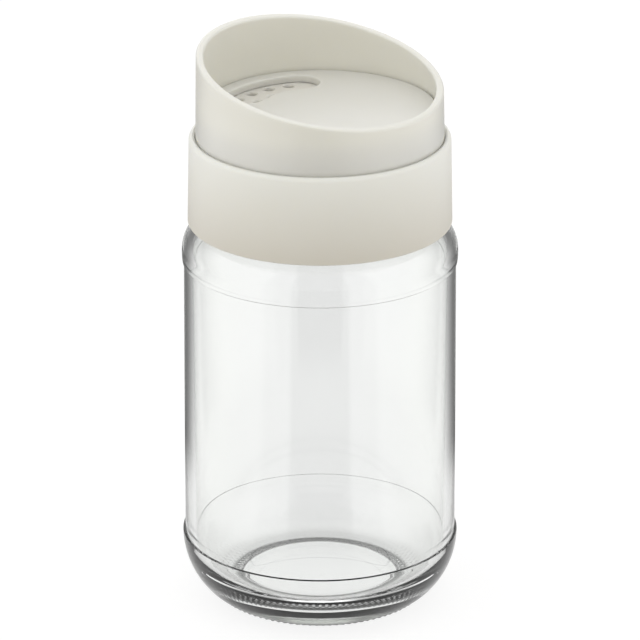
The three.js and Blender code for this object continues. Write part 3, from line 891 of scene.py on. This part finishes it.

# %% [markdown]
# ## Joining the CAD model
#
# Each smooth part replaces its CAD solid and rides on the body that moves it. The table also
# gives the finish it stands for.

# %% Bodies and replaced parts
pieces = [
    (jar, "jar", "glass_jar", "clear_glass"),
    (seal, "seal", "jar_seal", "liner"),
    (collar, "collar", "screw_collar", "lid_plastic"),
    (insert, "collar", "shaker_insert", "lid_plastic"),
    (cap, "cap", "cap_ring", "lid_plastic"),
    (disc, "cap", "dosing_disc", "lid_plastic"),
]
for made, body, node, finish in pieces:
    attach(made, body)
    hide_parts(node)
    print(made.name, "rides on", body)

# %% [markdown]
# ## The studio
#
# The jar stands on a white table in a white room. The side where the photographer stands is
# darker, as it is in a real studio: that gives the glass its soft vertical bands and the lid its
# shading. Behind the jar, to the left and to the right, dark flags give the glass its dark edges.
# All of it lies in fixed directions of the room, so it stays put when the jar is seen from
# elsewhere. A group works out how open the room is in a direction, for the table and the walls.

# %% How open the room is, by direction
camera_turn, camera_rise = math.radians(-46.9), math.radians(21.55)
toward_camera = math.atan2(-math.cos(camera_turn), math.sin(camera_turn))
dark_step, grey_step, flag_share = 0.67, 0.33, 0.85


def by_angle(tree, angle, start, end):
    """0 at the start angle, and 1 at the end angle. Both are given in degrees."""
    return smooth_step(tree, angle, math.radians(start), math.radians(end))


def room_tree():
    inputs, outputs = {"Direction": "Vector"}, {"Bands": "Float", "Front": "Float"}
    tree, given, out = new_tree("room openness", "ShaderNodeTree", inputs, outputs)
    x, y, z = split(tree, given["Direction"])
    turn = calc(tree, "SUBTRACT", calc(tree, "ARCTAN2", y, x), toward_camera)
    aside = calc(tree, "ABSOLUTE", calc(tree, "WRAP", turn, math.pi, -math.pi))
    rise = calc(tree, "ARCTAN2", z, from_axis(tree, x, y))
    dark = calc(tree, "MULTIPLY", by_angle(tree, aside, 20, 26), dark_step)
    bands = calc(tree, "MULTIPLY_ADD", by_angle(tree, aside, 43, 50), grey_step, dark)
    behind = calc(tree, "MULTIPLY", by_angle(tree, aside, 102, 152),
                  by_angle(tree, aside, 170, 158))
    flags = calc(tree, "MULTIPLY", behind, by_angle(tree, rise, 50, 30))
    beside_flags = calc(tree, "MULTIPLY_ADD", flags, -flag_share, 1)
    front = calc(tree, "MULTIPLY", by_angle(tree, aside, 110, 10), by_angle(tree, rise, 70, 20))
    tree.links.new(calc(tree, "MULTIPLY", bands, beside_flags).outputs[0], out["Bands"])
    tree.links.new(front.outputs[0], out["Front"])
    return tree


room = room_tree()
print("photographer's side at", round(math.degrees(toward_camera), 1), "degrees from +X")

# %% [markdown]
# The camera sees plain white, and rays that only pass through the glass see it slightly dimmed.
# Mirrored rays see the bands, a little brighter, and never quite black. Rays that light the lid
# see a room that is dimmer and warmer in front.


# %% Light by the kind of ray
through_level, mirror_gain = 0.92, 1.3


def light_by_ray(tree, direction, soft_level, front_level, least, near=0.0, far=1e-6):
    """The room's colour, and its level alone. Mirrors see no bands nearer than near."""
    path = put(tree, "ShaderNodeLightPath")
    group = put(tree, "ShaderNodeGroup", {"Direction": direction}, node_tree=room)
    away = smooth_step(tree, length(tree, direction), near, far)
    glossy = calc(tree, "GREATER_THAN", path.outputs["Glossy Depth"], 0.5)
    mirrored = calc(tree, "MULTIPLY", away, glossy)
    straight = calc(tree, "MULTIPLY_ADD", path.outputs["Is Camera Ray"],
                    1 - through_level, through_level)
    brighter = calc(tree, "MULTIPLY", group.outputs["Bands"], mirror_gain)
    open_room = calc(tree, "MAXIMUM", brighter, least)
    bands = put(tree, "ShaderNodeMix", {"Factor": mirrored, "A": straight, "B": open_room})
    soft = mix_colors(tree, group.outputs["Front"], (*soft_level, 1), (*front_level, 1))
    return mix_colors(tree, path.outputs["Is Diffuse Ray"], bands, soft), bands


print("mirrored rays see the room", mirror_gain, "times as bright")

# %% [markdown]
# The table glows like the room, so it has no edge in the picture, and its paper takes a little of
# the lamp's light. Where the jar stands, the light that comes back from the table is dimmer: a
# dark ring at the foot, and a softer shade round it. The camera itself sees the table plain white.

# %% The table and the room
contact_inner, contact_outer = (18.0 * mm, 18.9 * mm), (21.4 * mm, 20.2 * mm)
shade_reach = (29 * mm, 20 * mm)
contact_shade, wide_shade, table_level = 0.65, 0.26, 0.86
black, paper_tone = (0, 0, 0, 1), (0.18, 0.18, 0.18, 1)


def white_table():
    material, tree, _ = new_material("white table")
    tree.nodes.clear()
    place = put(tree, "ShaderNodeTexCoord").outputs["Object"]
    seen, bands = light_by_ray(tree, place, (0.95, 0.95, 0.94), (0.7, 0.68, 0.62),
                               least=0.12, near=60 * mm, far=100 * mm)
    reach = length(tree, place)
    inner_edge = smooth_step(tree, reach, *contact_inner)
    contact = calc(tree, "MULTIPLY", inner_edge, smooth_step(tree, reach, *contact_outer))
    around = calc(tree, "MULTIPLY", smooth_step(tree, reach, *shade_reach), inner_edge)
    darker = calc(tree, "MULTIPLY_ADD", contact, contact_shade,
                  calc(tree, "MULTIPLY", around, wide_shade))
    indirect = calc(tree, "SUBTRACT", 1, put(tree, "ShaderNodeLightPath").outputs["Is Camera Ray"])
    shade = calc(tree, "MULTIPLY_ADD", calc(tree, "MULTIPLY", darker, indirect),
                 -table_level, table_level)
    glow = put(tree, "ShaderNodeEmission", {"Color": seen, "Strength": shade})
    lit_tone = mix_colors(tree, bands, black, paper_tone)
    paper = put(tree, "ShaderNodeBsdfDiffuse", {"Color": lit_tone})
    both = put(tree, "ShaderNodeAddShader", [(0, glow), (1, paper)])
    end = put(tree, "ShaderNodeOutputMaterial")
    tree.links.new(both.outputs[0], end.inputs["Surface"])
    return material


table_half = 3.0
table_corners = [(-table_half, -table_half, 0), (table_half, -table_half, 0),
                 (table_half, table_half, 0), (-table_half, table_half, 0)]
table = mesh_object("table", white_table(), table_corners, [(0, 1, 2, 3)])

world = bpy.data.worlds.new("white room")
bpy.context.scene.world = world
world.use_nodes = True
air = world.node_tree
room_light, _ = light_by_ray(air, put(air, "ShaderNodeTexCoord").outputs["Generated"],
                             (1.02, 1.02, 1.01), (0.74, 0.72, 0.655), least=0.4)
air.links.new(room_light, air.nodes["Background"].inputs["Color"])
print("table", table_half * 2, "m wide")

# %% [markdown]
# ## Lamp and camera
#
# One large soft lamp high on the left gives the lid its form. Nothing mirrors it, and it doesn't
# show through the glass. The camera stands far back with a long lens, as for a product picture.
# The focal length was fitted in pixels, for a picture 640 pixels wide.

# %% Lamp and camera
focal_length, picture_width, sensor_width = 5309, 640, 36

lamp_data = bpy.data.lights.new("soft lamp", "AREA")
lamp_data.shape, lamp_data.size, lamp_data.energy = "DISK", 0.5, 0.6
lamp = bpy.data.objects.new("soft lamp", lamp_data)
lamp.location = (-0.5, 0.25, 0.9)
lamp.visible_glossy = lamp.visible_transmission = False
lamp.rotation_euler = (Vector((0, 0, 0.1)) - lamp.location).to_track_quat("-Z", "Y").to_euler()
bpy.context.scene.collection.objects.link(lamp)

target, distance = Vector((0, 0, 0.06336)), 1.1474
back = Vector((math.sin(camera_turn) * math.cos(camera_rise),
               -math.cos(camera_turn) * math.cos(camera_rise), math.sin(camera_rise)))
camera_data = bpy.data.cameras.new("camera")
camera_data.sensor_width = sensor_width
camera_data.lens = focal_length / picture_width * sensor_width
camera_data.clip_start = 0.05
camera = bpy.data.objects.new("camera", camera_data)
camera.location = target + back * distance
camera.rotation_euler = (-back).to_track_quat("-Z", "Y").to_euler()
bpy.context.scene.collection.objects.link(camera)
bpy.context.scene.camera = camera
bpy.context.scene.view_settings.view_transform = "Standard"
print("camera at", [round(value, 3) for value in camera.location])
